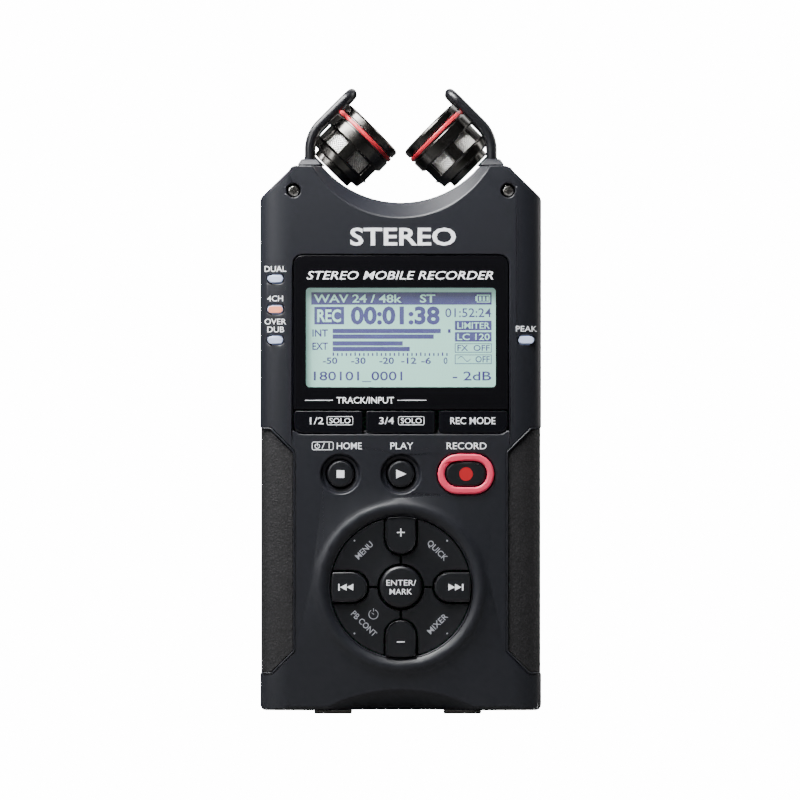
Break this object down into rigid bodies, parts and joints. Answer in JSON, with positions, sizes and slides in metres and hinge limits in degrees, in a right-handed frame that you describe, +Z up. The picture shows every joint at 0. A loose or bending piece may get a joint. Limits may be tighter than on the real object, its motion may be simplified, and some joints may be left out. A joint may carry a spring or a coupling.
{
  "type": "portable field recorder",
  "caption": "Hand-held stereo field recorder with two swivelling microphones, a small display, a round key pad and two latched input jacks in its foot.",
  "frame": {"origin": "centre of the whole part's footprint, at the tips of the latch tabs under the case", "axes": "+Z up the long side of the case, front panel facing -Y, +X to the right of someone facing the panel"},
  "size_m": [0.0703, 0.035, 0.1563],
  "materials": {
    "case_plastic": "satin moulded",
    "grip_rubber": "grained",
    "window_gloss": "polished",
    "display": "lit display",
    "frame_plastic": "moulded",
    "board_green": "printed board",
    "key_plastic": "satin moulded",
    "record_red": "satin moulded",
    "light_lens": "frosted",
    "dark_chrome": "dark plated",
    "ring_red": "satin",
    "mesh_silver": "woven mesh",
    "guard_black": "satin black",
    "bright_metal": "nickel plated",
    "brass": "turned brass",
    "cell_sleeve": "printed sleeve",
    "black_plastic": "moulded"
  },
  "bodies": {
    "case": {"front_case": "case_plastic", "rear_case": "case_plastic", "grip_left": "grip_rubber", "grip_right": "grip_rubber", "display_window": "window_gloss", "lcd_panel": "display", "lcd_holder": "frame_plastic", "key_board": "board_green", "main_board": "board_green", "record_ring": "record_red", "light_guide_left": "light_lens", "light_guide_peak": "light_lens", "screw_left": "bright_metal", "screw_right": "bright_metal", "contact_lower": "bright_metal", "contact_upper": "bright_metal", "battery_1": "cell_sleeve", "battery_2": "cell_sleeve", "battery_3": "cell_sleeve", "tripod_insert": "brass", "speaker": "black_plastic", "jack_left": "black_plastic", "jack_right": "black_plastic", "phones_jack": "black_plastic", "data_socket": "bright_metal"},
    "key_track_12": {"key_track_12": "key_plastic"},
    "key_track_34": {"key_track_34": "key_plastic"},
    "key_rec_mode": {"key_rec_mode": "key_plastic"},
    "home_button": {"home_button": "key_plastic"},
    "play_button": {"play_button": "key_plastic"},
    "record_button": {"record_button": "key_plastic"},
    "plus_key": {"plus_key": "key_plastic"},
    "rewind_key": {"rewind_key": "key_plastic"},
    "minus_key": {"minus_key": "key_plastic"},
    "forward_key": {"forward_key": "key_plastic"},
    "quick_key": {"quick_key": "key_plastic"},
    "menu_key": {"menu_key": "key_plastic"},
    "playback_key": {"playback_key": "key_plastic"},
    "mixer_key": {"mixer_key": "key_plastic"},
    "enter_button": {"enter_button": "key_plastic"},
    "mic_left": {"mic_base_left": "case_plastic", "mic_guard_left": "guard_black", "mic_barrel_left": "dark_chrome", "mic_ring_left": "ring_red", "mic_front_left": "dark_chrome", "mic_capsule_left": "mesh_silver"},
    "mic_right": {"mic_base_right": "case_plastic", "mic_guard_right": "guard_black", "mic_barrel_right": "dark_chrome", "mic_ring_right": "ring_red", "mic_front_right": "dark_chrome", "mic_capsule_right": "mesh_silver"},
    "latch_left": {"latch_left": "bright_metal"},
    "latch_right": {"latch_right": "bright_metal"},
    "battery_door": {"battery_door": "case_plastic"},
    "level_rocker": {"level_rocker": "key_plastic"},
    "volume_rocker": {"volume_rocker": "key_plastic"},
    "hold_switch": {"hold_switch": "key_plastic"},
    "input_switch": {"input_switch": "key_plastic"},
    "card_door": {"card_door": "black_plastic"}
  },
  "joints": [
    {"name": "key_track_12_press", "type": "slide", "parent": "case", "child": "key_track_12", "axis": [0, 1, 0], "range_m": [0, 0.0008], "stiffness_N_per_m": 400},
    {"name": "key_track_34_press", "type": "slide", "parent": "case", "child": "key_track_34", "axis": [0, 1, 0], "range_m": [0, 0.0008], "stiffness_N_per_m": 400},
    {"name": "key_rec_mode_press", "type": "slide", "parent": "case", "child": "key_rec_mode", "axis": [0, 1, 0], "range_m": [0, 0.0008], "stiffness_N_per_m": 400},
    {"name": "home_button_press", "type": "slide", "parent": "case", "child": "home_button", "axis": [0, 1, 0], "range_m": [0, 0.0008], "stiffness_N_per_m": 400},
    {"name": "play_button_press", "type": "slide", "parent": "case", "child": "play_button", "axis": [0, 1, 0], "range_m": [0, 0.0008], "stiffness_N_per_m": 400},
    {"name": "record_button_press", "type": "slide", "parent": "case", "child": "record_button", "axis": [0, 1, 0], "range_m": [0, 0.0008], "stiffness_N_per_m": 400},
    {"name": "plus_key_press", "type": "slide", "parent": "case", "child": "plus_key", "axis": [0, 1, 0], "range_m": [0, 0.0008], "stiffness_N_per_m": 400},
    {"name": "rewind_key_press", "type": "slide", "parent": "case", "child": "rewind_key", "axis": [0, 1, 0], "range_m": [0, 0.0008], "stiffness_N_per_m": 400},
    {"name": "minus_key_press", "type": "slide", "parent": "case", "child": "minus_key", "axis": [0, 1, 0], "range_m": [0, 0.0008], "stiffness_N_per_m": 400},
    {"name": "forward_key_press", "type": "slide", "parent": "case", "child": "forward_key", "axis": [0, 1, 0], "range_m": [0, 0.0008], "stiffness_N_per_m": 400},
    {"name": "quick_key_press", "type": "slide", "parent": "case", "child": "quick_key", "axis": [0, 1, 0], "range_m": [0, 0.0008], "stiffness_N_per_m": 400},
    {"name": "menu_key_press", "type": "slide", "parent": "case", "child": "menu_key", "axis": [0, 1, 0], "range_m": [0, 0.0008], "stiffness_N_per_m": 400},
    {"name": "playback_key_press", "type": "slide", "parent": "case", "child": "playback_key", "axis": [0, 1, 0], "range_m": [0, 0.0008], "stiffness_N_per_m": 400},
    {"name": "mixer_key_press", "type": "slide", "parent": "case", "child": "mixer_key", "axis": [0, 1, 0], "range_m": [0, 0.0008], "stiffness_N_per_m": 400},
    {"name": "enter_button_press", "type": "slide", "parent": "case", "child": "enter_button", "axis": [0, 1, 0], "range_m": [0, 0.0008], "stiffness_N_per_m": 400},
    {"name": "mic_left_swivel", "type": "hinge", "parent": "case", "child": "mic_left", "pos_m": [-0.0228, 0, 0.1365], "axis": [0, 0, 1], "range_deg": [0, 180]},
    {"name": "mic_right_swivel", "type": "hinge", "parent": "case", "child": "mic_right", "pos_m": [0.0228, 0, 0.1365], "axis": [0, 0, -1], "range_deg": [0, 180]},
    {"name": "latch_left_push", "type": "slide", "parent": "case", "child": "latch_left", "axis": [0, 1, 0], "range_m": [0, 0.001], "stiffness_N_per_m": 800},
    {"name": "latch_right_push", "type": "slide", "parent": "case", "child": "latch_right", "axis": [0, 1, 0], "range_m": [0, 0.001], "stiffness_N_per_m": 800},
    {"name": "battery_door_slide", "type": "slide", "parent": "case", "child": "battery_door", "axis": [0, 0, -1], "range_m": [0, 0.09]},
    {"name": "level_rocker_tilt", "type": "hinge", "parent": "case", "child": "level_rocker", "pos_m": [-0.0337, 0.004, 0.05605], "axis": [0, 1, 0], "range_deg": [-2.5, 2.5], "stiffness_Nm_per_rad": 0.5},
    {"name": "volume_rocker_tilt", "type": "hinge", "parent": "case", "child": "volume_rocker", "pos_m": [0.0337, 0.004, 0.07], "axis": [0, 1, 0], "range_deg": [-2.5, 2.5], "stiffness_Nm_per_rad": 0.5},
    {"name": "hold_switch_slide", "type": "slide", "parent": "case", "child": "hold_switch", "axis": [0, 0, -1], "range_m": [0, 0.004]},
    {"name": "input_switch_slide", "type": "slide", "parent": "case", "child": "input_switch", "axis": [0, 0, -1], "range_m": [-0.004, 0.004]},
    {"name": "card_door_hinge", "type": "hinge", "parent": "case", "child": "card_door", "pos_m": [0.0349, 0.004, 0.039], "axis": [0, 1, 0], "range_deg": [0, 90]}
  ]
}
